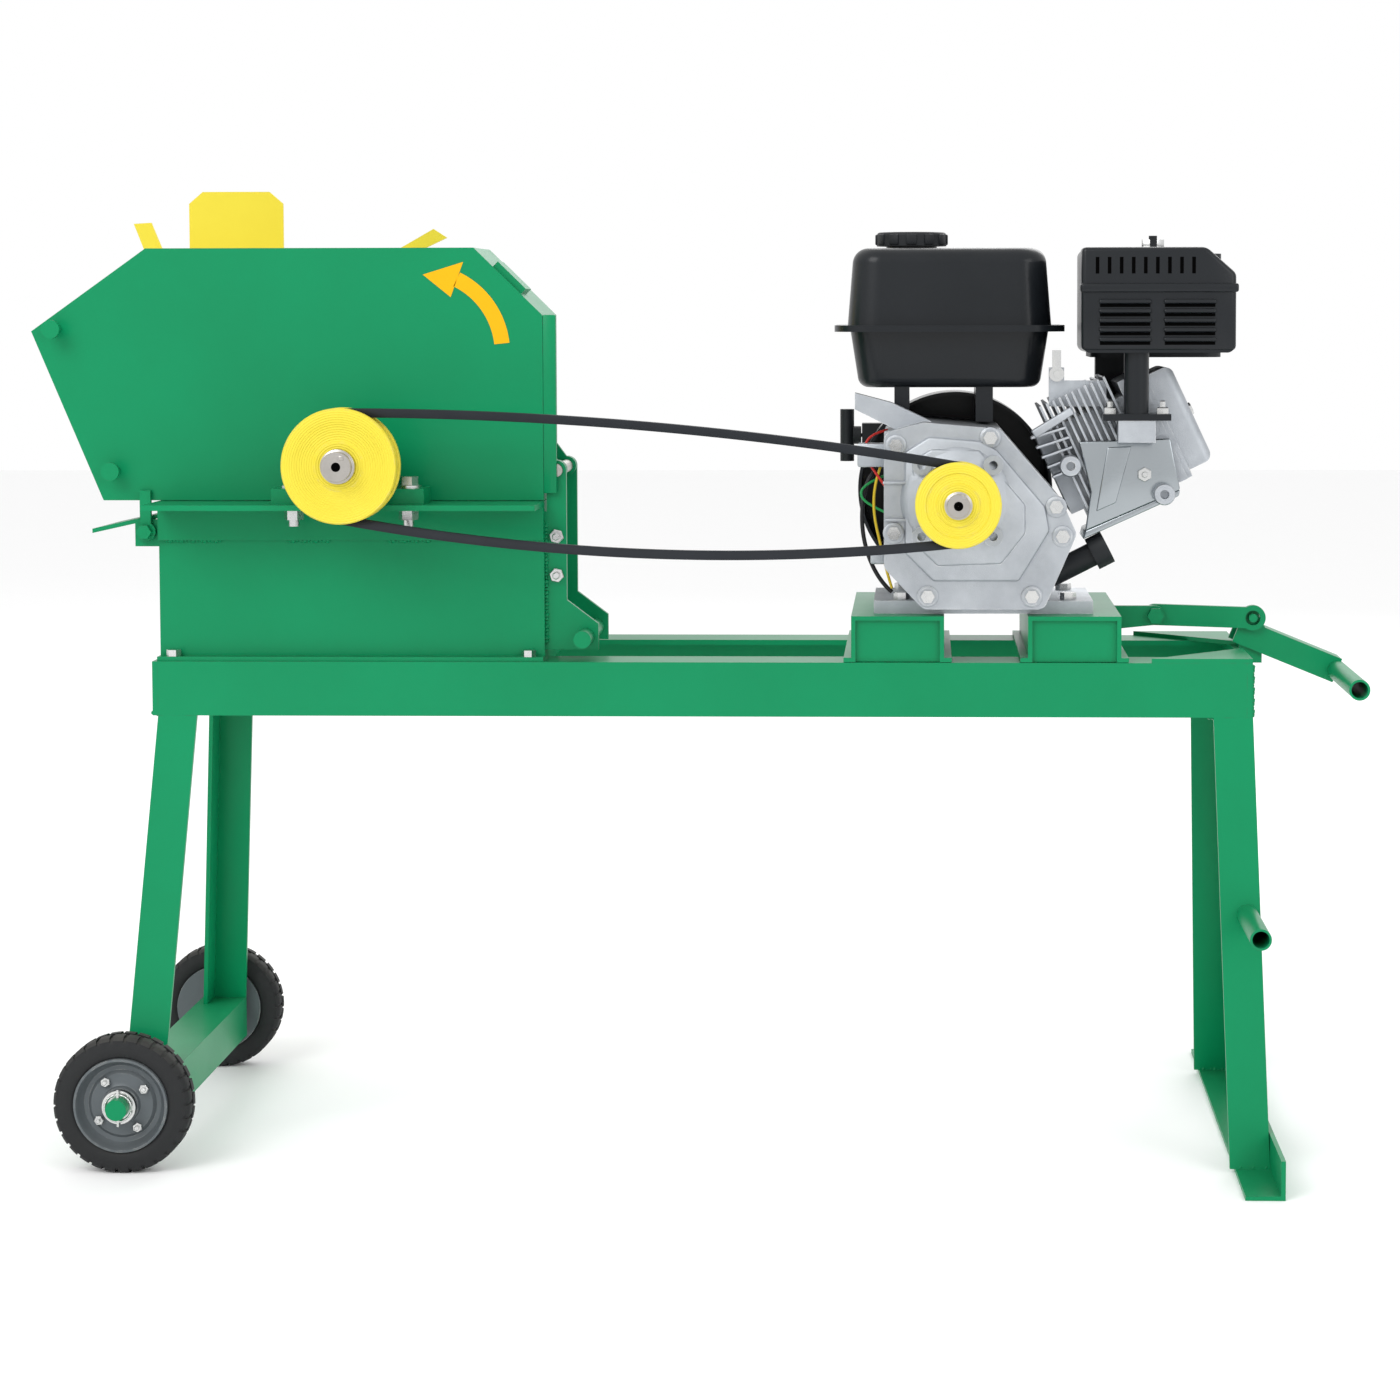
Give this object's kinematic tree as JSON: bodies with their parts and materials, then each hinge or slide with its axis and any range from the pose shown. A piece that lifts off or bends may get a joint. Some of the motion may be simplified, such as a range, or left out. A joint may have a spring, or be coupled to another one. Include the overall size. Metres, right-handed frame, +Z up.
{
  "type": "wood chipper",
  "caption": "Engine-driven disc wood chipper on a two-wheel angle-iron stand, with a hinged cover, feed hopper, V-belt drive and a sliding engine carriage.",
  "frame": {"origin": "on the ground, at the middle of the front foot's flat face", "axes": "+X from the chipper head to the engine end, +Y away from the belt side, +Z up"},
  "size_m": [1.2245, 0.54, 0.8966],
  "materials": {
    "green_paint": "gloss machine enamel",
    "yellow_paint": "gloss machine enamel",
    "tyre_rubber": "matte",
    "rim_paint": "satin grey",
    "zinc_steel": "bright zinc plate",
    "bare_steel": "turned steel",
    "cast_aluminium": "as cast, satin",
    "black_paint": "satin black",
    "black_plastic": "fine matte",
    "belt_rubber": "matte",
    "orange_paint": "direction arrow"
  },
  "bodies": {
    "frame": {"axle": "green_paint", "axle_beam": "green_paint", "axle_washers": "zinc_steel", "bearing_rings": "bare_steel", "bearing_shelves": "green_paint", "carry_handles": "green_paint", "corner_gussets": "green_paint", "cross_members": "green_paint", "discharge_lip": "green_paint", "drive_belt": "belt_rubber", "end_plates": "green_paint", "foot_angle": "green_paint", "front_legs": "green_paint", "head_bolts": "zinc_steel", "hinge_posts": "green_paint", "housing_far_plate": "green_paint", "housing_near_plate": "green_paint", "housing_shell": "green_paint", "lever_bracket": "green_paint", "pillow_blocks": "green_paint", "rail_far": "green_paint", "rail_near": "green_paint", "support_bar": "green_paint", "wheel_legs": "green_paint"},
    "cover": {"cover_near_plate": "green_paint", "cover_far_plate": "green_paint", "cover_skin": "green_paint", "hinge_ears": "green_paint", "hinge_pin": "bare_steel", "bag_hooks": "green_paint", "bed_knife": "bare_steel", "infeed_hopper": "yellow_paint"},
    "cover_latch": {"cover_latch": "green_paint"},
    "rotor": {"rotor_shaft": "bare_steel", "rotor_disc": "bare_steel", "rotor_knives": "bare_steel", "chopper_pulley": "yellow_paint"},
    "wheel_near": {"rim_near": "rim_paint", "tyre_near": "tyre_rubber"},
    "wheel_far": {"rim_far": "rim_paint", "tyre_far": "tyre_rubber"},
    "carriage": {"carriage_blocks": "green_paint", "side_cover": "cast_aluminium", "crankcase": "cast_aluminium", "cylinder": "cast_aluminium", "valve_cover": "cast_aluminium", "fan_shroud": "black_paint", "recoil_starter": "black_plastic", "fuel_tank": "black_paint", "muffler": "black_paint", "air_cleaner": "black_plastic", "oil_filler": "black_plastic", "engine_bolts": "zinc_steel"},
    "crank": {"crankshaft": "bare_steel", "engine_pulley": "yellow_paint"},
    "fuel_cap": {"fuel_cap": "black_plastic"},
    "starter_grip": {"starter_grip": "black_plastic"},
    "throttle_lever": {"throttle_lever": "zinc_steel"},
    "tension_lever": {"tension_lever": "green_paint"},
    "tension_link": {"tension_link": "green_paint"}
  },
  "joints": [
    {"name": "rotor_spin", "type": "hinge", "parent": "frame", "child": "rotor", "pos_m": [-0.819, 0, 0.6375], "axis": [0, -1, 0], "continuous": true},
    {"name": "wheel_near_spin", "type": "hinge", "parent": "frame", "child": "wheel_near", "pos_m": [-1.02, -0.205, 0.0625], "axis": [0, 1, 0], "continuous": true},
    {"name": "wheel_far_spin", "type": "hinge", "parent": "frame", "child": "wheel_far", "pos_m": [-1.02, 0.205, 0.0625], "axis": [0, 1, 0], "continuous": true},
    {"name": "cover_hinge", "type": "hinge", "parent": "frame", "child": "cover", "pos_m": [-0.636, -0.05, 0.629], "axis": [0, 1, 0], "range_deg": [0, 85]},
    {"name": "latch_turn", "type": "hinge", "parent": "frame", "child": "cover_latch", "pos_m": [-1.015, -0.11, 0.573], "axis": [0, -1, 0], "range_deg": [0, 90]},
    {"name": "engine_slide", "type": "slide", "parent": "frame", "child": "carriage", "axis": [1, 0, 0], "range_m": [0, 0.016], "deforming": ["drive_belt"]},
    {"name": "crank_spin", "type": "hinge", "parent": "carriage", "child": "crank", "pos_m": [-0.267, 0, 0.6025], "axis": [0, -1, 0], "continuous": true},
    {"name": "lever_pivot", "type": "hinge", "parent": "frame", "child": "tension_lever", "pos_m": [0.024, 0, 0.462], "axis": [0, 1, 0], "range_deg": [0, 40]},
    {"name": "link_pivot", "type": "hinge", "parent": "carriage", "child": "tension_link", "pos_m": [-0.0785, 0, 0.487], "axis": [0, -1, 0], "range_deg": [0, 2]},
    {"name": "fuel_cap_turn", "type": "hinge", "parent": "carriage", "child": "fuel_cap", "pos_m": [-0.309, 0.01, 0.82], "axis": [0, 0, 1], "range_deg": [0, 90]},
    {"name": "starter_pull", "type": "slide", "parent": "carriage", "child": "starter_grip", "axis": [-1, 0, 0], "range_m": [0, 0.06], "stiffness_N_per_m": 200, "springref_m": -0.02},
    {"name": "throttle_turn", "type": "hinge", "parent": "carriage", "child": "throttle_lever", "pos_m": [-0.175, -0.0695, 0.7165], "axis": [0, 1, 0], "range_deg": [-35, 35]}
  ],
  "couplings": [
    {"joint": "crank_spin", "follows": "rotor_spin", "ratio": 1.3982},
    {"joint": "lever_pivot", "follows": "engine_slide", "rad_per_m": 42.6},
    {"joint": "link_pivot", "follows": "engine_slide", "rad_per_m": 0.79}
  ]
}
